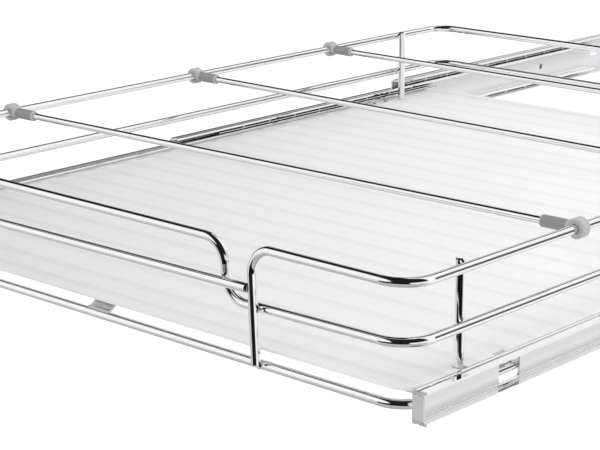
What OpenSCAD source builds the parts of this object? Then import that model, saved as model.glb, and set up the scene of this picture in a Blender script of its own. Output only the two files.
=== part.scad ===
// Pull-out wire basket for a base cabinet, carried by a pair of three-member
// ball-bearing slides, drawn part way out of the cabinet.
//
// Axes: +X to the right, +Y into the cabinet, +Z up.
// Origin: midway between the two slides, at the front ends of the cabinet
// members, at the height of the slides' centrelines.
//
// The skilled work is in two places. The gallery is bent wire: each wire is a
// list of corner points with a bend radius, and the front shows the S-bend
// where the upper rail dives behind the middle one. The slides are roll-formed
// steel: each member is one strip, bent round its own ball tracks.

/* [Basket] */
// Width between the centrelines of the side rails
basket_w = 430; // [380:1:480]
// Depth between the centrelines of the front and back rails
basket_d = 570; // [540:1:600]
// Diameter of the rail wire
rail_d = 5; // [4:0.1:6]
// Height from the bottom rail to the top rail, between centrelines
gallery_h = 58.5; // [52:0.1:70]
// Bend radius of the four corners
corner_r = 16; // [12:1:24]
// How far the bottom rail lies below the slides' centreline
rail_drop = 2.3; // [1:0.1:3.5]
// How far each weld sinks one wire into the next
weld = 0.1; // [0.05:0.05:0.3]

/* [Front gallery] */
// Bend radius of the dip and of the riser
bend_r = 12; // [9:0.5:14]
// Distance of the dip from the middle of the basket
dip_x = 98; // [80:1:110]
// Height of the right middle rail above the bottom rail, at the corner and along the side
mid_right_h = 29.9; // [29:0.1:34]
// Height of the right middle rail above the bottom rail, at the foot of the dip
dip_foot_h = 27.1; // [25:0.1:28.5]
// Height of the left middle rail above the bottom rail, along the side
mid_left_h = 30.3; // [28:0.1:31.9]
// Height of the left middle rail above the bottom rail, at the front corner
mid_corner_h = 33.8; // [33:0.1:36]
// Height of the left middle rail above the bottom rail, at its cut end
mid_end_h = 38.3; // [37:0.1:40]
// Distance from the front rail at which the left middle rail starts to rise
mid_rise_y = 115; // [100:1:130]
// Distance of the riser's foot from the middle of the basket
riser_foot_x = 123.8; // [115:0.1:140]
// Sideways lean of the riser, in degrees
riser_lean = 7.3; // [0:0.1:10]
// How far above the middle of the bottom rail the riser ends
riser_short = 1.2; // [0:0.1:1.4]

/* [Posts] */
// Distance of the front posts from the front rail
post_front = 44; // [40:0.5:45]
// Distance of the back posts from the back rail
post_back = 55; // [53:0.1:57]
// How far the posts stand above the middle of the top rail
post_proud = 3.4; // [2.6:0.1:5]
// Chamfer on the top end of a post
post_chamfer = 0.7; // [0.2:0.1:1]

/* [Base] */
// Diameter of the cross wires
cross_d = 3; // [2.5:0.1:3.5]
// Distance of the first cross wire from the front rail
cross_first = 13; // [12:0.1:14]
// Distance of the second cross wire from the front rail
cross_second = 31.5; // [31:0.1:32]
// Distance of the last cross wire from the back rail
cross_last = 11.4; // [11.2:0.1:11.6]
// Least spacing of the other cross wires, which stretches to fill the depth
cross_pitch = 23.9; // [23.6:0.05:23.95]
// Width of the middle strip
strip_w = 16; // [10:1:20]
// Thickness of the middle strip
strip_t = 1; // [0.8:0.1:1.5]
// Distance of the middle strip to the right of the basket's middle
strip_x = 5; // [-10:1:10]
// Distance behind the front rail at which the middle strip reaches its full height
strip_ramp = 5.6; // [5:0.1:6]
// Thickness of the base mat
mat_t = 1.5; // [1:0.1:2]
// Corner radius of the base mat
mat_corner = 11; // [6:1:14]
// Distance of the mat's front and back edges from the rails' centrelines
mat_inset = 2.2; // [1.5:0.1:4]
// Distance of the mat's side edges from the side rails' centrelines
mat_side = 1.5; // [1:0.1:3]
// Gap between the mat and the posts and hooks
mat_gap = 0.4; // [0.2:0.1:0.8]

/* [Dividers] */
// Diameter of the divider rods
rod_d = 4; // [3.6:0.1:4.2]
// Distance of the front divider's left end from the front rail
front_left_y = 124.5; // [120:0.5:140]
// Distance of the front divider's right end from the front rail
front_right_y = 133.8; // [120:0.1:140]
// Distance of the middle divider's left end from the front rail
middle_left_y = 290.5; // [280:0.5:300]
// Distance of the middle divider's right end from the front rail
middle_right_y = 283.8; // [280:0.1:300]
// Distance of the back divider's left end from the front rail
back_left_y = 435; // [425:0.5:445]
// Distance of the back divider's right end from the front rail
back_right_y = 430.5; // [425:0.5:445]
// Outer diameter of a clip's sleeve
sleeve_d = 6.6; // [6.4:0.1:8]
// Distance from the side rail's centreline to the end of the sleeve
sleeve_l = 22; // [18:0.5:26]
// Radius that rounds the end of the sleeve
sleeve_round = 1; // [0.4:0.1:1.1]
// Depth of the socket in the sleeve
socket_l = 13; // [10:0.5:14]
// Outer diameter of a clip's hook
hook_d = 10.8; // [10:0.1:11.4]
// Length of the hook along the rail
hook_l = 7.4; // [7:0.1:9]
// Radius that rounds the hook's ends
hook_round = 6; // [5.8:0.1:7]
// Clearance of the hook round the rail
hook_play = 0.1; // [0.08:0.01:0.14]
// Clearance of the rod in its socket
socket_play = 0.02; // [0.01:0.01:0.05]

/* [Slides] */
// Thickness of the steel strip
sheet_t = 1.2; // [1:0.05:1.2]
// Height of the cabinet member
slide_h = 35; // [34.6:0.1:35.4]
// Width of the whole slide, from the basket's side to the cabinet's side
slide_w = 12.7; // [12.6:0.05:12.9]
// How much shorter the intermediate member is than the cabinet member
middle_short = 41; // [36:1:60]
// How far the intermediate member sits back when the basket is closed
middle_back = 12.5; // [8:0.5:20]
// Distance of the intermediate member's round hole from its back end
web_hole_back = 74; // [60:1:90]
// Depth of the basket member's flanges
drawer_depth = 8; // [7.9:0.05:8.1]
// Diameter of the inner balls
inner_ball_d = 3.2; // [3.1:0.05:3.25]
// Diameter of the outer balls
outer_ball_d = 4.8; // [4.7:0.05:4.9]
// Depth of the ball tracks
track_depth = 0.45; // [0.35:0.05:0.45]
// Play between a ball and its tracks
ball_play = 0.05; // [0.03:0.01:0.08]
// Distance from the basket's side to the inner ball tracks
inner_track_x = 3.2; // [3.15:0.05:3.2]
// Distance from the basket's side to the outer ball tracks
outer_track_x = 6.6; // [6.6:0.05:6.65]
// Thickness of the ball cages
cage_t = 0.6; // [0.5:0.05:0.6]
// Length of the ball cages
cage_len = 250; // [240:1:260]
// Spacing of the balls along a cage
ball_pitch = 28; // [26:0.5:30]
// Number of balls in each row
ball_count = 8; // [6:1:8]
// Distance of the inner cage's stop from the front of the intermediate member
inner_stop = 37.5; // [32:0.5:44]
// Distance of the outer cage's stop from the front of the cabinet member
outer_stop = 5; // [4:0.5:12]
// Diameter of the round screw holes
screw_d = 4.5; // [4:0.1:5]
// Distance of the first screw hole from the front end
screw_first = 37; // [30:1:40]
// Distance from one round screw hole to the next
screw_pitch = 224; // [200:1:230]
// Distance from a round screw hole to the slot behind it
slot_offset = 32; // [26:1:40]
// Length of the slots, end to end
slot_l = 13; // [10:0.5:16]
// Width of the windows that the hooks are cut from
window_w = 17; // [15:0.5:19]
// Distance of the front and back windows from the basket's rails
window_y = 73.2; // [73:0.1:73.4]
// Width of the hooks that hold the bottom rail
tab_w = 9; // [7:0.1:9.2]
// Length of the rubber stop at the back
bumper_l = 26; // [20:1:28]

/* [Position] */
// How far the basket is drawn out of the cabinet
pulled_out = 526.5; // [515:0.5:530]
// The most that the slides draw out
full_travel = 530; // [530:1:540]

/* [Hidden] */
$fn = 48;
arc_steps = 6;

chrome = "silver";
zinc = "gainsboro";
steel = "dimgray";
clip_grey = "gray";

// heights above the slides' centreline
bottom_z = -rail_drop;
top_z = bottom_z + gallery_h;
mid_right_z = bottom_z + mid_right_h;
dip_foot_z = bottom_z + dip_foot_h;
mid_left_z = bottom_z + mid_left_h;
mid_corner_z = bottom_z + mid_corner_h;
mid_back_z = (mid_right_z + mid_left_z) / 2;
rail_r = rail_d / 2;
half_w = basket_w / 2;

// the riser leans to the left, and its cut end meets the front of the bottom
// rail
riser_drop = gallery_h - riser_short;
riser_front = rail_r + sqrt(pow(rail_r - weld, 2) - pow(riser_short, 2));
riser_top_x = riser_foot_x - riser_drop * tan(riser_lean);

// the right middle rail passes behind the riser, which sets how far the dip
// leans back
mid_slope = (mid_right_h - dip_foot_h) / (half_w - dip_x);
mid_cross_drop = gallery_h - dip_foot_h - mid_slope * (riser_foot_x - dip_x);
riser_mid_x = riser_top_x + mid_cross_drop * tan(riser_lean);
riser_mid_y = -riser_front * mid_cross_drop / riser_drop;
dip_back = (riser_mid_y + rail_d - weld) * (half_w - dip_x) / (half_w - riser_mid_x);

// the left middle rail passes in front of the dip and butts against the riser
mid_end_x = riser_top_x + (gallery_h - mid_end_h) * tan(riser_lean) - rail_r + weld;
mid_dip_share = (dip_x + half_w) / (mid_end_x + half_w);
mid_dip_h = mid_corner_h + (mid_end_h - mid_corner_h) * mid_dip_share;
dip_mid_y = dip_back * (gallery_h - mid_dip_h) / (gallery_h - dip_foot_h);
mid_end_front = (rail_d - weld - dip_mid_y) / mid_dip_share;
rise_bend_r = 40;

// base
cross_z = bottom_z + rail_r + cross_d / 2 - weld;
cross_span = basket_d - cross_second - cross_last;
cross_gaps = floor(cross_span / cross_pitch);
cross_ys = concat([cross_first], [for (i = [0:cross_gaps]) cross_second + cross_span * i / cross_gaps]);
strip_z = cross_z + cross_d / 2;
mat_z = strip_z + strip_t;
mat_half = half_w - mat_side;

// straight lengths enter the bends a little finer than the bends themselves,
// so that each joint is one clean face
joint_lap = 0.2;
joint_slip = 0.08;

// the slides, as long as the basket is deep, measured outwards from its side
cabinet_len = basket_d;
middle_len = cabinet_len - middle_short;
slide_x = half_w + rail_r;
inner_ball_r = inner_ball_d / 2;
outer_ball_r = outer_ball_d / 2;
outer_ball_z = slide_h / 2 - sheet_t - ball_play - outer_ball_r;
middle_z = outer_ball_z - outer_ball_r - ball_play + track_depth - sheet_t / 2;
cabinet_z = outer_ball_z + outer_ball_r + ball_play - track_depth + sheet_t / 2;
inner_ball_z = middle_z - sheet_t / 2 + track_depth - ball_play - inner_ball_r;
drawer_z = inner_ball_z - inner_ball_r - ball_play + track_depth - sheet_t / 2;
cabinet_x = slide_w - sheet_t / 2;
middle_x = cabinet_x - sheet_t * 2;
inner_cage_x = (drawer_depth + middle_x - sheet_t / 2) / 2;
outer_cage_x = (middle_x + cabinet_x) / 2;
drawer_bend = 0.8;
member_bend = 1;
cage_bend = 0.6;
cage_margin = (cage_len - ball_pitch * (ball_count - 1)) / 2;
inner_curl = 60;
outer_curl = 72;

// a cage comes to rest against its stop when the basket is fully drawn out
stop_r = 2;
stop_gap = 0.5;
inner_cage_front = inner_stop + stop_r + stop_gap + middle_back + full_travel / 4;
outer_cage_front = outer_stop + stop_r + stop_gap + full_travel / 4;

// where the moving pieces stand when the basket is drawn out this far
basket_y = -pulled_out;
middle_y = middle_back - pulled_out / 2;
inner_cage_y = inner_cage_front - pulled_out * 3 / 4;
outer_cage_y = outer_cage_front - pulled_out / 4;

// hooks that hold the bottom rail, and their windows
window_top = 5.2;
window_bottom = -6.8;
window_round = 1.5;
tab_bend = 1.2;
tab_z = window_top - 0.8;
tab_leg = 5;
tab_play = 0.05;
end_plate_top = 6.2;
end_plate_depth = drawer_depth - 1.5;
end_plate_round = 2;

function unit(v) = v / norm(v);
function turn(a, b) = acos(max(-1, min(1, unit(a) * unit(b))));
function arc(c, r, a0, a1) =
    [for (i = [0:arc_steps]) let (a = a0 + (a1 - a0) * i / arc_steps) c + r * [cos(a), sin(a)]];
function flipped(path) = [for (i = [len(path) - 1:-1:0]) path[i]];
function upside_down(path) = [for (p = path) [p[0], -p[1]]];
// half the opening angle at which an arc of radius r crosses a line at height h
function crossing(h, r) = acos(h / r);

// ---- wires ----

module placed(p, x, y, z) {
    multmatrix([
        [x[0], y[0], z[0], p[0]],
        [x[1], y[1], z[1], p[1]],
        [x[2], y[2], z[2], p[2]],
        [0, 0, 0, 1],
    ]) children();
}

module straight(p, q, d) {
    z = unit(q - p);
    x = unit(cross(abs(z[2]) < 0.9 ? [0, 0, 1] : [1, 0, 0], z));
    placed(p, x, cross(z, x), z)
        cylinder(h = norm(q - p), d = d);
}

module elbow(corner, a, b, r, d) {
    t = turn(a, b);
    inward = unit(b - (b * a) * a);
    placed(corner - r * tan(t / 2) * a + r * inward, -inward, a, cross(-inward, a))
        rotate_extrude(angle = t)
            translate([r, 0])
                circle(d = d);
}

// a wire through a list of corners, with a bend radius at each
module bent_wire(points, bends, d) {
    last = len(points) - 1;
    dirs = [for (i = [0:last - 1]) unit(points[i + 1] - points[i])];
    trims = [for (i = [0:last])
        i == 0 || i == last ? 0 : bends[i] * tan(turn(dirs[i - 1], dirs[i]) / 2) - joint_lap];
    for (i = [0:last - 1])
        straight(points[i] + trims[i] * dirs[i], points[i + 1] - trims[i + 1] * dirs[i], d - joint_slip);
    for (i = [1:last - 1])
        elbow(points[i], dirs[i - 1], dirs[i], bends[i], d);
}

// a flat rectangle of wire with four round corners
module wire_frame(w, d, r, wire_d) {
    for (side = [-1, 1]) {
        straight([side * w / 2, r - joint_lap, 0], [side * w / 2, d - r + joint_lap, 0], wire_d - joint_slip);
        straight([-w / 2 + r - joint_lap, (side + 1) * d / 2, 0],
                 [w / 2 - r + joint_lap, (side + 1) * d / 2, 0], wire_d - joint_slip);
        for (end = [-1, 1])
            elbow([side * w / 2, (end + 1) * d / 2, 0], [side, 0, 0], [0, -end, 0], r, wire_d);
    }
}

module in_basket() {
    translate([0, basket_y, 0])
        children();
}

module bottom_rail() {
    color(chrome)
        in_basket()
            translate([0, 0, bottom_z])
                wire_frame(basket_w, basket_d, corner_r, rail_d);
}

// from the middle of the back, round the right side, to the riser's foot
module gallery_wire_right() {
    color(chrome)
        in_basket()
            bent_wire([
                [0, basket_d, top_z],
                [half_w, basket_d, top_z],
                [half_w, 0, top_z],
                [riser_top_x, 0, top_z],
                [riser_foot_x, -riser_front, top_z - riser_drop],
            ], [0, corner_r, corner_r, bend_r, 0], rail_d);
}

// from the middle of the back, round the left side, down the dip and back
// round the right side at middle height
module gallery_wire_left() {
    color(chrome)
        in_basket()
            bent_wire([
                [0, basket_d, top_z],
                [-half_w, basket_d, top_z],
                [-half_w, 0, top_z],
                [dip_x, 0, top_z],
                [dip_x, dip_back, dip_foot_z],
                [half_w, 0, mid_right_z],
                [half_w, basket_d, mid_right_z],
                [0, basket_d, mid_back_z],
            ], [0, corner_r, corner_r, bend_r, bend_r, corner_r, corner_r, 0], rail_d);
}

// from the middle of the back, round the left side at middle height, to the
// cut end that butts against the riser
module gallery_wire_middle() {
    color(chrome)
        in_basket()
            bent_wire([
                [0, basket_d, mid_back_z],
                [-half_w, basket_d, mid_left_z],
                [-half_w, mid_rise_y, mid_left_z],
                [-half_w, 0, mid_corner_z],
                [mid_end_x, -mid_end_front, bottom_z + mid_end_h],
            ], [0, corner_r, rise_bend_r, corner_r, 0], rail_d);
}

module post(side, y) {
    z0 = bottom_z - rail_r;
    h = gallery_h + rail_r + post_proud;
    color(chrome)
        in_basket()
            translate([side * (half_w - rail_d + weld), y, z0])
                rotate_extrude()
                    polygon([
                        [0, 0], [rail_r, 0], [rail_r, h - post_chamfer], [rail_r - post_chamfer, h], [0, h],
                    ]);
}

module post_front_right() { post(1, post_front); }
module post_front_left() { post(-1, post_front); }
module post_back_right() { post(1, basket_d - post_back); }
module post_back_left() { post(-1, basket_d - post_back); }

// ---- base ----

module cross_wires() {
    color(chrome)
        in_basket()
            for (y = cross_ys)
                translate([-half_w, y, cross_z])
                    rotate([0, 90, 0])
                        cylinder(h = basket_w, d = cross_d);
}

// the outline of a strip of thickness t that follows a path
function strip_outline(path, t) =
    let (last = len(path) - 1,
         dirs = [for (i = [0:last - 1]) unit(path[i + 1] - path[i])],
         sides = [for (d = dirs) [-d[1], d[0]]],
         offsets = [for (i = [0:last])
             i == 0 ? sides[0] :
             i == last ? sides[last - 1] :
             (sides[i - 1] + sides[i]) / (1 + sides[i - 1] * sides[i])])
    concat([for (i = [0:last]) path[i] + offsets[i] * t / 2],
           [for (i = [last:-1:0]) path[i] - offsets[i] * t / 2]);

module middle_strip() {
    foot_z = bottom_z + rail_r + strip_t / 2 - weld;
    flat_z = strip_z + strip_t / 2;
    ramp_0 = rail_r * 0.7;
    front = [[-rail_r / 4, foot_z], [ramp_0, foot_z], [strip_ramp, flat_z]];
    back = [for (p = flipped(front)) [basket_d - p[0], p[1]]];
    color(chrome)
        in_basket()
            translate([strip_x - strip_w / 2, 0, 0])
                rotate([90, 0, 90])
                    linear_extrude(strip_w)
                        polygon(strip_outline(concat(front, back), strip_t));
}

function rounded_box(x0, y0, x1, y1, r) = concat(
    arc([x1 - r, y1 - r], r, 0, 90),
    arc([x0 + r, y1 - r], r, 90, 180),
    arc([x0 + r, y0 + r], r, 180, 270),
    arc([x1 - r, y0 + r], r, 270, 360));

module base_mat() {
    post_x = half_w - rail_d + weld;
    post_gap = rail_r + mat_gap;
    hook_x = slide_x - (rail_d + sheet_t + tab_play) - mat_gap;
    tall = mat_t * 3;
    color("whitesmoke")
        in_basket()
            difference() {
                translate([0, 0, mat_z])
                    linear_extrude(mat_t)
                        polygon(rounded_box(
                            -mat_half, mat_inset, mat_half, basket_d - mat_inset, mat_corner));
                for (side = [-1, 1]) {
                    for (y = [post_front, basket_d - post_back]) {
                        translate([side * post_x, y, mat_z - mat_t])
                            cylinder(h = tall, r = post_gap);
                        translate([side * post_x - (side < 0 ? rail_d * 2 : 0), y - post_gap, mat_z - mat_t])
                            cube([rail_d * 2, post_gap * 2, tall]);
                    }
                    for (y = [window_y, basket_d - window_y])
                        translate([side * hook_x - (side < 0 ? rail_d * 2 : 0), y - tab_w / 2 - mat_gap,
                                   mat_z - mat_t])
                            cube([rail_d * 2, tab_w + mat_gap * 2, tall]);
                }
            }
}

// ---- slides ----

// draws on the right, or mirrored on the left, from the basket's side outwards
module on_side(side) {
    mirror([side < 0 ? 1 : 0, 0, 0])
        translate([slide_x, 0, 0])
            children();
}

// a profile in X and Z, run back along +Y
module run_back(length) {
    translate([0, length, 0])
        rotate([90, 0, 0])
            linear_extrude(length)
                children();
}

// a member is symmetrical, so its upper half is mirrored for the lower one
module strip_profile(upper, t) {
    polygon(strip_outline(concat(flipped(upside_down(upper)), upper), t));
}

inner_track_r = inner_ball_r + ball_play + sheet_t / 2;
outer_track_r = outer_ball_r + ball_play + sheet_t / 2;
drawer_track_a = crossing(inner_ball_z - drawer_z, inner_track_r);
middle_track_a = crossing(middle_z - inner_ball_z, inner_track_r);
middle_dip_a = crossing(outer_ball_z - middle_z, outer_track_r);
cabinet_track_a = crossing(cabinet_z - outer_ball_z, outer_track_r);

drawer_upper = concat(
    arc([sheet_t / 2 + drawer_bend, drawer_z - drawer_bend], drawer_bend, 180, 90),
    arc([inner_track_x, inner_ball_z], inner_track_r, 270 - drawer_track_a, 270 + drawer_track_a),
    [[drawer_depth, drawer_z]]);

middle_upper = concat(
    arc([middle_x - member_bend, middle_z - member_bend], member_bend, 0, 90),
    arc([outer_track_x, outer_ball_z], outer_track_r, 270 + middle_dip_a, 270 - middle_dip_a),
    arc([inner_track_x, inner_ball_z], inner_track_r, 90 - middle_track_a, 90 + inner_curl));

cabinet_upper = concat(
    arc([cabinet_x - member_bend, cabinet_z - member_bend], member_bend, 0, 90),
    arc([outer_track_x, outer_ball_z], outer_track_r, 90 - cabinet_track_a, 90 + outer_curl));

module hook_tab() {
    leg_x = -rail_d - tab_play - sheet_t / 2;
    path = concat(
        [[sheet_t / 2, tab_z + tab_bend + 0.4]],
        arc([sheet_t / 2 - tab_bend, tab_z + tab_bend], tab_bend, 0, -90),
        arc([leg_x + tab_bend, tab_z - tab_bend], tab_bend, 90, 180),
        [[leg_x, tab_z - tab_bend - tab_leg]]);
    run_back(tab_w)
        polygon(strip_outline(path, sheet_t));
}

module end_plate() {
    run_back(sheet_t)
        polygon(rounded_box(sheet_t / 4, -drawer_z, end_plate_depth, end_plate_top, end_plate_round));
}

module drawer_member(side) {
    color(zinc)
        in_basket()
            on_side(side) {
                difference() {
                    run_back(basket_d)
                        strip_profile(drawer_upper, sheet_t);
                    for (y = [window_y, basket_d - window_y])
                        translate([-sheet_t, y - window_w / 2, 0])
                            rotate([90, 0, 90])
                                linear_extrude(sheet_t * 3)
                                    polygon(rounded_box(
                                        0, window_bottom, window_w, window_top, window_round));
                }
                end_plate();
                for (y = [window_y, basket_d - window_y])
                    translate([0, y - tab_w / 2, 0])
                        hook_tab();
            }
}

// a pip pressed out of a web, which stops the cage that runs next to it
module cage_stop(x, y, length) {
    translate([x - length, y, 0])
        rotate([0, 90, 0])
            cylinder(h = length + sheet_t / 2, r = stop_r);
}

module intermediate_member(side) {
    color(zinc)
        translate([0, middle_y, 0])
            on_side(side) {
                difference() {
                    run_back(middle_len)
                        strip_profile(middle_upper, sheet_t);
                    translate([middle_x - sheet_t, middle_len - web_hole_back, 0])
                        rotate([0, 90, 0])
                            cylinder(h = sheet_t * 2, d = screw_d + 0.5);
                }
                cage_stop(middle_x - sheet_t / 2, inner_stop, 0.6);
            }
}

module cabinet_member(side) {
    color(zinc)
        on_side(side) {
            difference() {
                run_back(cabinet_len)
                    strip_profile(cabinet_upper, sheet_t);
                for (i = [0:2]) {
                    translate([cabinet_x - sheet_t, screw_first + i * screw_pitch, 0])
                        rotate([0, 90, 0])
                            cylinder(h = sheet_t * 2, d = screw_d);
                    translate([cabinet_x - sheet_t, screw_first + slot_offset + i * screw_pitch, 0])
                        rotate([90, 0, 90])
                            linear_extrude(sheet_t * 2) {
                                square([slot_l - screw_d, screw_d], center = true);
                                for (end = [-1, 1])
                                    translate([end * (slot_l - screw_d) / 2, 0])
                                        circle(d = screw_d);
                            }
                }
            }
            cage_stop(cabinet_x - sheet_t / 2, outer_stop, 0.6);
        }
}

module ball_rows(x, z, y0) {
    for (up = [-1, 1], i = [0:ball_count - 1])
        translate([x, y0 + cage_margin + i * ball_pitch, up * z])
            children();
}

module cage(web_x, lip_x, track_x, z, ball_r) {
    upper = concat(
        arc([web_x - cage_bend, z - cage_bend], cage_bend, 0, 90),
        [[lip_x, z]]);
    difference() {
        run_back(cage_len)
            strip_profile(upper, cage_t);
        for (up = [-1, 1], i = [0:ball_count - 1])
            translate([track_x, cage_margin + i * ball_pitch, up * z - cage_t])
                cylinder(h = cage_t * 2, r = ball_r + 0.1);
        for (i = [0:ball_count - 2])
            translate([web_x - cage_t, cage_margin + (i + 0.2) * ball_pitch, -z / 2])
                cube([cage_t * 2, ball_pitch * 0.6, z]);
    }
}

module inner_cage(side) {
    color(steel)
        translate([0, inner_cage_y, 0])
            on_side(side)
                cage(inner_cage_x, 0.55, inner_track_x, inner_ball_z, inner_ball_r);
}

module outer_cage(side) {
    color(steel)
        translate([0, outer_cage_y, 0])
            on_side(side)
                cage(outer_cage_x, outer_track_x - outer_ball_r - 0.8, outer_track_x, outer_ball_z,
                     outer_ball_r);
}

module inner_balls(side) {
    color(chrome)
        on_side(side)
            ball_rows(inner_track_x, inner_ball_z, inner_cage_y)
                sphere(r = inner_ball_r);
}

module outer_balls(side) {
    color(chrome)
        on_side(side)
            ball_rows(outer_track_x, outer_ball_z, outer_cage_y)
                sphere(r = outer_ball_r);
}

// a rubber block behind the intermediate member, which meets it at the end of
// the travel
module rear_stop(side) {
    front_y = middle_back + middle_len + 1;
    x0 = drawer_depth + 0.6;
    x1 = cabinet_x - sheet_t / 2;
    color("black")
        on_side(side)
            translate([x0, front_y, 0])
                rotate([90, 0, 90])
                    linear_extrude(x1 - x0)
                        polygon(rounded_box(0, -9, bumper_l, 9, 2));
}

// ---- dividers ----

// each divider sits a little askew, so its ends have places of their own
function skew(y_left, y_right) = atan((y_right - y_left) / basket_w);

module divider_rod(y_left, y_right) {
    half_l = half_w - sleeve_l + socket_l - 0.3;
    color(chrome)
        in_basket()
            translate([0, (y_left + y_right) / 2, top_z])
                rotate([0, 90, skew(y_left, y_right)])
                    cylinder(h = half_l * 2, d = rod_d, center = true);
}

// a hook that snaps over the side rail, with a sleeve that holds the rod's end
module clip(side, y_left, y_right) {
    sleeve_r = sleeve_d / 2;
    start = rail_r + 0.6;
    sleeve_h = sleeve_l - start;
    mouth_0 = 205;
    mouth_1 = 245;
    reach = hook_d;
    color(clip_grey)
        in_basket()
            translate([side * half_w, side < 0 ? y_left : y_right, top_z])
                rotate([0, 0, skew(y_left, y_right)])
                    mirror([side < 0 ? 1 : 0, 0, 0])
                        difference() {
                            union() {
                                intersection() {
                                    rotate([90, 0, 0])
                                        cylinder(h = hook_l, d = hook_d, center = true);
                                    sphere(r = hook_round);
                                }
                                translate([-start, 0, 0])
                                    rotate([0, -90, 0])
                                        rotate_extrude()
                                            polygon(concat(
                                                [[0, 0], [sleeve_r, 0]],
                                                arc([sleeve_r - sleeve_round, sleeve_h - sleeve_round],
                                                    sleeve_round, 0, 90),
                                                [[0, sleeve_h]]));
                            }
                            rotate([90, 0, 0])
                                cylinder(h = hook_l * 2, r = rail_r + hook_play, center = true);
                            translate([-sleeve_l - 1, 0, 0])
                                rotate([0, 90, 0])
                                    cylinder(h = socket_l + 1, r = rod_d / 2 + socket_play);
                            intersection() {
                                rotate([90, 0, 0])
                                    cylinder(h = hook_l * 2, r = hook_d / 2 + 0.6, center = true);
                                translate([0, hook_l, 0])
                                    rotate([90, 0, 0])
                                        linear_extrude(hook_l * 2)
                                            polygon([
                                                [0, 0],
                                                reach * [cos(mouth_0), sin(mouth_0)],
                                                2 * reach * [cos(mouth_0), sin(mouth_1)],
                                                reach * [cos(mouth_1), sin(mouth_1)],
                                            ]);
                            }
                        }
}

module front_divider_rod() { divider_rod(front_left_y, front_right_y); }
module middle_divider_rod() { divider_rod(middle_left_y, middle_right_y); }
module back_divider_rod() { divider_rod(back_left_y, back_right_y); }
module clip_front(side) { clip(side, front_left_y, front_right_y); }
module clip_middle(side) { clip(side, middle_left_y, middle_right_y); }
module clip_back(side) { clip(side, back_left_y, back_right_y); }

bottom_rail();
gallery_wire_right();
gallery_wire_left();
gallery_wire_middle();
post_front_right();
post_front_left();
post_back_right();
post_back_left();
cross_wires();
middle_strip();
base_mat();
drawer_member(1);  // drawer_member_right
drawer_member(-1);  // drawer_member_left
intermediate_member(1);  // intermediate_member_right
intermediate_member(-1);  // intermediate_member_left
cabinet_member(1);  // cabinet_member_right
cabinet_member(-1);  // cabinet_member_left
inner_cage(1);  // inner_cage_right
inner_cage(-1);  // inner_cage_left
outer_cage(1);  // outer_cage_right
outer_cage(-1);  // outer_cage_left
inner_balls(1);  // inner_balls_right
inner_balls(-1);  // inner_balls_left
outer_balls(1);  // outer_balls_right
outer_balls(-1);  // outer_balls_left
rear_stop(1);  // rear_stop_right
rear_stop(-1);  // rear_stop_left
front_divider_rod();  // divider_rod_front
middle_divider_rod();  // divider_rod_middle
back_divider_rod();  // divider_rod_back
clip_front(1);  // clip_front_right
clip_front(-1);  // clip_front_left
clip_middle(1);  // clip_middle_right
clip_middle(-1);  // clip_middle_left
clip_back(1);  // clip_back_right
clip_back(-1);  // clip_back_left
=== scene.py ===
from math import cos, radians, sin

import bpy
from mathutils import Matrix, Vector


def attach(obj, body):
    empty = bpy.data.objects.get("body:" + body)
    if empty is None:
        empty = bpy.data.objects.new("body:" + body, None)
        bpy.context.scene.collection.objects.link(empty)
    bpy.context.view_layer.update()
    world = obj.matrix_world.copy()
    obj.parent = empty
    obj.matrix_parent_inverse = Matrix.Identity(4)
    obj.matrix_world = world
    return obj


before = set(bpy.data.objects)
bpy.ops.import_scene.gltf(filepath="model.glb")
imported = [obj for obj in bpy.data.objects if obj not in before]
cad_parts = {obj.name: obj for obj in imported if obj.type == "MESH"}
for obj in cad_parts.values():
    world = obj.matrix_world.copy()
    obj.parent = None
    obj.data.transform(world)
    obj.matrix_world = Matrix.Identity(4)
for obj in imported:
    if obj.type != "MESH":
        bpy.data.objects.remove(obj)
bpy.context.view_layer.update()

# ---- The viewpoint ----
# The basket is seen from its front right, a little above the rails, through a
# long lens. The eye is 1.4 m from the front ends of the cabinet members.
bearing = radians(42.29)
height_angle = radians(15.409)
tilt = radians(-0.108)
eye = (0.7178, -1.1521, 0.3060)
film_width = 36
focal_length = 112.25

backward = Vector((
    sin(bearing) * cos(height_angle),
    -cos(bearing) * cos(height_angle),
    sin(height_angle),
))
level_right = Vector((0, 0, 1)).cross(backward).normalized()
level_up = backward.cross(level_right)
rightward = cos(tilt) * level_right + sin(tilt) * level_up
upward = -sin(tilt) * level_right + cos(tilt) * level_up

camera_data = bpy.data.cameras.new("camera")
camera_data.sensor_width = film_width
camera_data.lens = focal_length
camera = bpy.data.objects.new("camera", camera_data)
camera.matrix_world = Matrix.Translation(eye) @ Matrix((
    (rightward.x, upward.x, backward.x, 0),
    (rightward.y, upward.y, backward.y, 0),
    (rightward.z, upward.z, backward.z, 0),
    (0, 0, 0, 1),
))
bpy.context.scene.collection.objects.link(camera)
bpy.context.scene.camera = camera
bpy.context.scene.view_settings.view_transform = "Standard"

# ---- The bent rails and the posts ----
# The bottom rail, three gallery wires and four posts are drawn steel wire, bent
# cold round formers and plated with bright chrome once they are welded. Faint
# long ripples of the drawn wire show in the plating.
rail_radius = 0.0025
sides = {"right": 1, "left": -1}
rails = ("bottom_rail", "gallery_wire_right", "gallery_wire_left", "gallery_wire_middle")
posts = ["post_" + end + "_" + side for end in ("front", "back") for side in sides]


def corners(node):
    """The lowest and the highest corner of one node of the frame."""
    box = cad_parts[node].bound_box
    return Vector(box[0]), Vector(box[6])


bottom_rail_low, bottom_rail_high = corners("bottom_rail")
basket_front = bottom_rail_low.y + rail_radius
side_rail = bottom_rail_high.x - rail_radius
bottom_height = (bottom_rail_low.z + bottom_rail_high.z) / 2
top_height = corners("gallery_wire_left")[1].z - rail_radius


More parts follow.
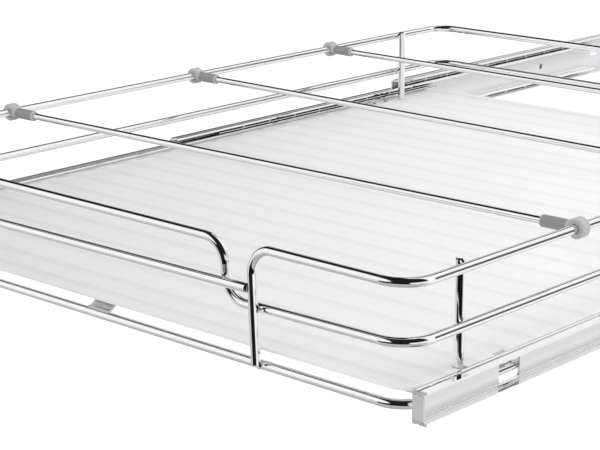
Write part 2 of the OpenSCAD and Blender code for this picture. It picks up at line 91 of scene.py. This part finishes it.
class Shade:
    """A socket of a node tree. Sums, differences and products add Math nodes."""

    def __init__(self, tree, socket=None):
        self.tree = tree
        self.socket = socket

    def node(self, kind, settings=None, sockets=None, out=0):
        """Add a node: its settings come first, then the values or links of its sockets."""
        made = self.tree.nodes.new("ShaderNode" + kind)
        for name, value in (settings or {}).items():
            setattr(made, name, value)
        for name, value in (sockets or {}).items():
            if isinstance(value, Shade):
                self.tree.links.new(value.socket, made.inputs[name])
            else:
                made.inputs[name].default_value = value
        return Shade(self.tree, made.outputs[out] if len(made.outputs) else None)

    def math(self, operation, *others):
        return self.node("Math", {"operation": operation}, dict(enumerate((self,) + others)))

    def __add__(self, other):
        return self.math("ADD", other)

    def __sub__(self, other):
        return self.math("SUBTRACT", other)

    def __rsub__(self, other):
        return self.node("Math", {"operation": "SUBTRACT"}, {0: other, 1: self})

    def __mul__(self, other):
        return self.math("MULTIPLY", other)

    __radd__ = __add__
    __rmul__ = __mul__

    def part(self, axis):
        """The x, y or z of a vector, for axis 0, 1 or 2."""
        return self.node("SeparateXYZ", None, {0: self}, axis)

    def rise(self, low, high):
        """0 below low, 1 above high and a smooth step between them."""
        return self.node("MapRange", {"interpolation_type": "SMOOTHSTEP"},
                         {"Value": self, "From Min": low, "From Max": high})

    def fall(self, low, high):
        """1 below low, 0 above high and a smooth step between them."""
        return 1 - self.rise(low, high)

    def blend(self, low, high):
        """One colour at 0, the other at 1. A Mix node's colours are inputs 6 and 7 and output 2."""
        return self.node("Mix", {"data_type": "RGBA"}, {0: self, 6: low, 7: high}, 2)

    def noise(self, scale):
        return self.node("TexNoise", None, {"Vector": self, "Scale": scale})

    def stretched(self, x, y, z):
        return self.node("Mapping", None, {"Vector": self, "Scale": (x, y, z)})

    def bump(self, height, strength, distance):
        return self.node("Bump", None, {"Height": height, "Strength": strength, "Distance": distance})


def finish_material(name, describe):
    """A new material. describe(place) gives the sockets of its surface."""
    material = bpy.data.materials.new(name)
    material.use_nodes = True
    tree = material.node_tree
    tree.nodes.clear()
    start = Shade(tree)
    place = start.node("TexCoord", None, None, "Object")
    surface = start.node("BsdfPrincipled", None, describe(place))
    start.node("OutputMaterial", None, {"Surface": surface})
    return material


def dress(material, *nodes):
    """Give nodes of the frame their material."""
    for node in nodes:
        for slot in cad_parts[node].material_slots:
            slot.material = material


chrome_grey = (0.88, 0.89, 0.90, 1)
chrome_white = (0.94, 0.945, 0.95, 1)


def bright_chrome(place):
    drawn_ripple = place.stretched(60, 6, 60).noise(9)
    haze = place.noise(35)
    return {
        "Base Color": haze.blend(chrome_grey, chrome_white),
        "Metallic": 1.0,
        "Roughness": 0.03 + 0.04 * haze,
        "Normal": place.bump(drawn_ripple, strength=0.02, distance=0.001),
    }


chrome = finish_material("bright_chrome", bright_chrome)
dress(chrome, *rails, *posts)

# ---- The cross wires ----
# Thin straight steel wires under the mat, welded on top of the bottom rail at
# both ends. The first is set close to the front, the others are evenly spread.
cross_wire_count = 24
cross_wire_radius = 0.0015
first_gap = 0.0185
wire_pitch = 0.02396
first_wire = corners("cross_wires")[0].y + cross_wire_radius
second_wire = first_wire + first_gap
wire_places = [first_wire]
wire_places += [second_wire + wire_pitch * count for count in range(cross_wire_count - 1)]
dress(chrome, "cross_wires")

# ---- The middle strip ----
# A flat steel strip that runs from front to back on top of the cross wires and
# ties them together. Its ends are bent down and its plating is a little dull.


def dull_plate(place):
    cloud = place.noise(220)
    return {
        "Base Color": cloud.blend((0.80, 0.805, 0.81, 1), (0.90, 0.905, 0.91, 1)),
        "Metallic": 1.0,
        "Roughness": 0.38 + 0.12 * cloud,
    }


dress(finish_material("dull_plate", dull_plate), "middle_strip")

# ---- The welds ----
# Where two wires touch, a spot weld melts them together. A little steel is
# squeezed out all round the contact as a flat bead, and is plated over.
bead_radius = 0.001
# how far a bead spreads along x, y and z, named for the direction in which its wires touch
flat_in_x = (0.8, 2.1, 2.2)
flat_in_y = (2.0, 0.8, 2.0)
flat_in_z = (1.9, 1.8, 0.7)
middle_rail_heights = {
    "post_front_right": 0.0276,
    "post_front_left": 0.0302,
    "post_back_right": 0.0276,
    "post_back_left": 0.0280,
}
riser_foot = (0.1238, basket_front - rail_radius, bottom_height)
riser_crossing = (0.1204, basket_front, 0.0254)
dip_crossing = (0.0985, basket_front - 0.0003, 0.0357)

weld_points = []
for post, middle_rail_height in middle_rail_heights.items():
    post_low, post_high = corners(post)
    post_place = (post_low.y + post_high.y) / 2
    outwards = 1 if post_low.x > 0 else -1
    for height in (bottom_height, middle_rail_height, top_height):
        contact = (outwards * (side_rail - rail_radius), post_place, height)
        weld_points.append((contact, flat_in_x))
for outwards in sides.values():
    for wire_place in wire_places:
        contact = (outwards * side_rail, wire_place, bottom_height + rail_radius)
        weld_points.append((contact, flat_in_z))
weld_points += [(contact, flat_in_y) for contact in (riser_foot, riser_crossing, dip_crossing)]

points_mesh = bpy.data.meshes.new("weld_points")
points_mesh.from_pydata([contact for contact, spread in weld_points], [], [])
spreads = points_mesh.attributes.new("spread", "FLOAT_VECTOR", "POINT")
for item, (contact, spread) in zip(spreads.data, weld_points):
    item.vector = spread
welds = bpy.data.objects.new("weld_beads", points_mesh)
bpy.context.scene.collection.objects.link(welds)

bead_tree = bpy.data.node_groups.new("weld_bead_on_each_point", "GeometryNodeTree")
bead_tree.interface.new_socket("Points", in_out="INPUT", socket_type="NodeSocketGeometry")
bead_size = bead_tree.interface.new_socket("Bead size", in_out="INPUT", socket_type="NodeSocketFloat")
bead_tree.interface.new_socket("Beads", in_out="OUTPUT", socket_type="NodeSocketGeometry")


def bead_node(kind, sockets=None):
    """Add a node to the bead's tree, with the values or links of its sockets."""
    made = bead_tree.nodes.new(kind)
    for name, value in (sockets or {}).items():
        if isinstance(value, bpy.types.NodeSocket):
            bead_tree.links.new(value, made.inputs[name])
        else:
            made.inputs[name].default_value = value
    return made


given = bead_node("NodeGroupInput")
round_bead = bead_node("GeometryNodeMeshIcoSphere", {
    "Radius": given.outputs["Bead size"],
    "Subdivisions": 3,
})
spread_here = bead_node("GeometryNodeInputNamedAttribute", {"Name": "spread"})
spread_here.data_type = "FLOAT_VECTOR"
flat_beads = bead_node("GeometryNodeInstanceOnPoints", {
    "Points": given.outputs["Points"],
    "Instance": round_bead.outputs["Mesh"],
    "Scale": spread_here.outputs["Attribute"],
})
real_beads = bead_node("GeometryNodeRealizeInstances", {"Geometry": flat_beads.outputs["Instances"]})
smooth_beads = bead_node("GeometryNodeSetShadeSmooth", {"Geometry": real_beads.outputs["Geometry"]})
plated_beads = bead_node("GeometryNodeSetMaterial", {
    "Geometry": smooth_beads.outputs["Geometry"],
    "Material": chrome,
})
bead_node("NodeGroupOutput", {"Beads": plated_beads.outputs["Geometry"]})

bead_modifier = welds.modifiers.new("beads", "NODES")
bead_modifier.node_group = bead_tree
bead_modifier[bead_size.identifier] = bead_radius
evaluated = welds.evaluated_get(bpy.context.evaluated_depsgraph_get())
bead_mesh = bpy.data.meshes.new_from_object(evaluated)
welds.modifiers.remove(bead_modifier)
welds.data = bead_mesh
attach(welds, "basket")

# ---- The mat ----
# A stiff sheet of frosted plastic, cut out round the posts, that lies loose on
# the strip. The shadow of each cross wire under it is painted on it as a soft
# grey band, which fades out in front of the wire and ends close behind it.
# the painted wire shadows: how dark they are, and how far in front of a wire they reach, in pitches
painted_shadow_depth = 0.16
painted_shadow_reach = 0.35


def all_of(first, *others):
    """1 only where each of the masks is 1."""
    for other in others:
        first = first * other
    return first


def frosted_sheet(place):
    to_back = place.part(1)
    # in pitches: 0 over a wire, and below 0 in front of it, as far as the painted shadow reaches
    pitches = (to_back - second_wire) * (1 / wire_pitch)
    behind_wire = pitches - (pitches + painted_shadow_reach).math("FLOOR")
    # painted shadows of the evenly spread wires
    painted_wire_shadows = all_of(
        behind_wire.rise(-0.33, 0.0),
        behind_wire.fall(0.02, 0.14),
        to_back.rise(second_wire - 0.010, second_wire - 0.008),
    )
    # painted shadow of the first wire
    behind_first = to_back - first_wire
    painted_first_wire_shadow = behind_first.rise(-0.006, 0.0) * behind_first.fall(0.0005, 0.003)
    cloud = place.noise(7)
    # painted light: the sheet is paler towards its back right corner, where the main lamp stands
    painted_light_to_back_right = 2.8 * place.part(0) + 2.2 * to_back + 1.67
    tone_with_painted_light_and_shade = 0.06 * cloud + 0.42 + 0.32 * painted_light_to_back_right.math("MINIMUM", 1.4)
    tone_with_painted_light_and_shade = tone_with_painted_light_and_shade - painted_shadow_depth * painted_wire_shadows - painted_shadow_depth * painted_first_wire_shadow
    return {
        "Base Color": tone_with_painted_light_and_shade.blend((0.60, 0.60, 0.60, 1), (1.0, 1.0, 1.0, 1)),
        "Roughness": 0.38 + 0.15 * place.noise(160),
        "Normal": place.bump(place.noise(900), strength=0.15, distance=0.0006),
        "Specular IOR Level": 0.35,
    }


dress(finish_material("frosted_sheet", frosted_sheet), "base_mat")

# ---- The slide members ----
# Three strips of steel on each side, roll-formed round their ball tracks and
# plated with bright zinc. The rolls leave a polished band along both edges and
# the flat web satin. The basket member's front end is folded over, and the fold
# is painted darker, as shade.
polished_band = 0.0024
soft_edge = 0.0006
fold_thickness = 0.0011
# from the middle of each member to its upper and lower faces
member_half_heights = {"drawer": 0.00825, "intermediate": 0.01185, "cabinet": 0.0175}


def bright_zinc(place, half_height):
    rolled = place.stretched(30, 0.8, 30).noise(10)
    spangle = place.noise(160)
    from_middle = place.part(2).math("ABSOLUTE")
    band_start = half_height - polished_band
    polished = from_middle.rise(band_start, band_start + soft_edge)
    # painted shade along the crease where each polished band begins
    painted_crease_shade = from_middle.rise(band_start - soft_edge, band_start - soft_edge / 3) - polished
    fold_back = basket_front + fold_thickness
    # painted shade: the fold at the front end is a darker grey
    painted_shade_on_folded_end = place.part(1).fall(fold_back - 0.0002, fold_back + 0.0002)
    # painted light makes the web paler in its lower half, against the shade of its lower roll, and painted
    # shade darkens the crease at each band
    painted_light_below = (-1 * place.part(2)).rise(-0.2 * half_height, band_start)
    tone_with_painted_light_and_shade = 0.10 * spangle + 0.15 * rolled + 0.42 + 0.5 * painted_light_below - 0.6 * painted_crease_shade
    strip_colour = tone_with_painted_light_and_shade.blend((0.70, 0.705, 0.71, 1), (1.0, 1.0, 1.0, 1))
    return {
        "Base Color": painted_shade_on_folded_end.blend(strip_colour, (0.62, 0.625, 0.63, 1)),
        "Metallic": 0.35 + 0.65 * polished,
        "Roughness": 0.27 - 0.21 * polished + 0.02 * rolled,
    }


for kind, half_height in member_half_heights.items():
    zinc = finish_material("bright_zinc_" + kind, lambda place: bright_zinc(place, half_height))
    dress(zinc, *[kind + "_member_" + side for side in sides])

# ---- The ball cages ----
# Pressed strips of thin oiled steel between the members. Each keeps the balls
# of one pair of tracks apart and rolls along with them.
ball_rows = ("inner", "outer")
cages = [row + "_cage_" + side for row in ball_rows for side in sides]


def oiled_steel(place):
    smear = place.noise(60)
    return {
        "Base Color": smear.blend((0.70, 0.70, 0.71, 1), (0.82, 0.82, 0.83, 1)),
        "Metallic": 1.0,
        "Roughness": 0.15 + 0.15 * smear,
    }


dress(finish_material("oiled_steel", oiled_steel), *cages)

# ---- The balls ----
# Hardened steel balls, ground and polished as bright as the chrome. They sit in
# the holes of the cages and roll in the tracks of the members.
balls = [row + "_balls_" + side for row in ball_rows for side in sides]
dress(chrome, *balls)

# ---- The rear stops ----
# A block of black rubber, pressed into the back end of each cabinet member,
# takes the knock when the basket is closed.


def stop_rubber(place):
    bloom = place.noise(120)
    return {
        "Base Color": bloom.blend((0.012, 0.012, 0.013, 1), (0.035, 0.035, 0.036, 1)),
        "Roughness": 0.65 + 0.2 * bloom,
    }


dress(finish_material("stop_rubber", stop_rubber), *["rear_stop_" + side for side in sides])

# ---- The divider rods ----
# Thin straight steel rods that lie across the basket at the height of the top
# rail. They are chromed like the rails, and their underside is painted a darker grey, as shade.
dividers = ("front", "middle", "back")
painted_underside_grey = (0.58, 0.585, 0.59, 1)


def rod_chrome(place):
    haze = place.noise(35)
    # painted shade: the underside of each rod is a darker grey
    painted_underside_shade = (place.part(2) - top_height).fall(-0.0011, -0.0002)
    return {
        "Base Color": painted_underside_shade.blend(haze.blend(chrome_grey, chrome_white), painted_underside_grey),
        "Metallic": 1.0,
        "Roughness": 0.04 + 0.04 * haze,
    }


dress(finish_material("rod_chrome", rod_chrome), *["divider_rod_" + divider for divider in dividers])

# ---- The clips ----
# One moulded plastic clip at each end of a rod snaps over the side rail and
# slides along it. Its sleeve is a darker grey than its hook and its end lip.
lip_end = 0.1938
hook_start = 0.2085


def moulded_grey(place):
    grain = place.noise(1400)
    cloud = place.noise(90)
    from_centre = place.part(0).math("ABSOLUTE")
    hook = from_centre.rise(hook_start, hook_start + 0.001)
    lip = from_centre.fall(lip_end, lip_end + 0.0006)
    sleeve_grey = cloud.blend((0.25, 0.255, 0.26, 1), (0.31, 0.315, 0.32, 1))
    return {
        "Base Color": (hook + lip).blend(sleeve_grey, (0.50, 0.505, 0.51, 1)),
        "Roughness": 0.36 + 0.12 * cloud,
        "Normal": place.bump(grain, strength=0.08, distance=0.0003),
    }


clips = ["clip_" + divider + "_" + side for divider in dividers for side in sides]
dress(finish_material("moulded_grey", moulded_grey), *clips)

# ---- The floor ----
# A pale floor under the basket, which keeps its shadow. It glows a little for
# the camera alone, to show white, and metal looks straight through it.
floor_drop = 0.32
floor_size = 14
floor_glow = 0.16
white = (1, 1, 1, 1)

bpy.ops.mesh.primitive_plane_add(size=floor_size, location=(0, 0, -floor_drop))
floor = bpy.context.object
floor.name = "floor"
floor_material = bpy.data.materials.new("pale_floor")
floor_material.use_nodes = True
floor_material.node_tree.nodes.clear()
start = Shade(floor_material.node_tree)
for_camera = start.node("LightPath", None, None, "Is Camera Ray")
for_metal = start.node("LightPath", None, None, "Is Glossy Ray")
pale = start.node("BsdfDiffuse", None, {"Color": (0.97, 0.97, 0.97, 1)})
glow = start.node("Emission", None, {"Color": white, "Strength": floor_glow * for_camera})
glowing = start.node("AddShader", None, {0: pale, 1: glow})
clear = start.node("BsdfTransparent")
floor_surface = start.node("MixShader", None, {0: for_metal, 1: glowing, 2: clear})
start.node("OutputMaterial", None, {"Surface": floor_surface})
floor.data.materials.append(floor_material)

# ---- The room ----
# The camera sees a white room, and a plain white room lights the basket. Metal
# mirrors the room with its dark parts. Each of them is a mask on the direction
# in which the metal looks, with soft edges.
plain_light = 0.88
screen_black = (0.012, 0.012, 0.013, 1)

world = bpy.data.worlds.new("white_room")
bpy.context.scene.world = world
world.use_nodes = True
world.node_tree.nodes.clear()
room = Shade(world.node_tree)
direction = room.node("TexCoord", None, None, "Generated")
to_right, to_back, to_top = (direction.part(axis) for axis in range(3))

# the ceiling is dark, and ends before the back wall and before the near left corner
past_middle = 0.25 * to_right.rise(-0.45, -0.25)
ceiling = all_of(
    (to_back + to_right).rise(-1.02, -0.84),
    (to_back + past_middle).fall(0.52, 0.68),
    (to_top - past_middle).rise(-0.12, -0.04),
)
# a screen stands in front, low down, and its upper part stops further forward
screen_depth = to_back + 0.62 * to_top.rise(-0.22, -0.10)
screen_side = to_right - 2 * (to_top + 0.03).math("MAXIMUM", 0) - 0.12 * to_top.fall(-0.25, -0.10)
near_screen = all_of(
    screen_depth.fall(0.0, 0.12),
    screen_side.rise(-0.64, -0.56),
    to_top.rise(-0.51, -0.39),
)
# an opening in the back wall, right of a leaning post and above a leaning sill
right_of_post = to_right - 0.64 * to_back - 0.15 * to_top
above_sill = to_top - 0.633 * to_right + 0.797 * to_back
far_opening = all_of(
    right_of_post.rise(-0.05, 0.05),
    above_sill.rise(0.04, 0.12),
    to_back.rise(0.45, 0.62),
    (to_top + 1.3 * right_of_post).fall(0.42, 0.60),
)
# the upper left part of the back wall
far_left_top = all_of(
    to_right.fall(-0.25, 0.0),
    to_back.rise(0.50, 0.58),
    to_top.rise(0.40, 0.48),
)
# a screen before the left part of the back wall, at eye level
far_screen = all_of(
    (to_right + 0.5 * to_top).fall(-0.53, -0.43),
    to_back.rise(0.45, 0.60),
    to_top.rise(-0.10, -0.02),
    to_top.fall(0.38, 0.46),
)
# the lower part of the left wall
left_wall = all_of(
    to_right.fall(-0.88, -0.80),
    to_top.fall(0.05, 0.20),
    to_back.fall(0.0, 0.2),
)
dark = ceiling
for mask, depth in (
    (near_screen, 1.0),
    (far_opening, 0.9),
    (far_left_top, 0.9),
    (far_screen, 0.8),
    (left_wall, 0.3),
):
    dark = dark.math("MAXIMUM", mask * depth)
# the ground is a shade darker than the walls, most of all in front
near_ground = to_top.fall(-0.30, -0.02) * to_back.fall(0.2, 0.6)
ground_shade = 0.34 * near_ground + 0.20 * to_top.fall(-0.75, -0.35)

mirrored = room.node("Background", None, {
    "Color": dark.blend(white, screen_black),
    "Strength": 1 - ground_shade,
})
plain = room.node("Background", None, {"Color": white, "Strength": plain_light})
seen = room.node("Background", None, {"Color": white, "Strength": 1.0})
for_camera = room.node("LightPath", None, None, "Is Camera Ray")
for_metal = room.node("LightPath", None, None, "Is Glossy Ray")
lit = room.node("MixShader", None, {0: for_metal, 1: plain, 2: mirrored})
room.node("OutputWorld", None, {"Surface": room.node("MixShader", None, {0: for_camera, 1: lit, 2: seen})})

# ---- The lamps ----
# Two large soft lamps that metal doesn't mirror: the main one stands at the
# back right, and a weaker one at the front left fills its shadows.
lit_place = Vector((0, -0.2, 0))


def soft_lamp(name, place, size, power):
    data = bpy.data.lights.new(name, "AREA")
    data.size = size
    data.energy = power
    lamp = bpy.data.objects.new(name, data)
    lamp.location = place
    lamp.rotation_euler = (lit_place - Vector(place)).to_track_quat("-Z", "Y").to_euler()
    lamp.visible_glossy = False
    bpy.context.scene.collection.objects.link(lamp)


soft_lamp("key_lamp", (1.2, 0.9, 1.9), size=1.6, power=14)
soft_lamp("fill_lamp", (-1.6, -1.4, 1.5), size=1.8, power=6)
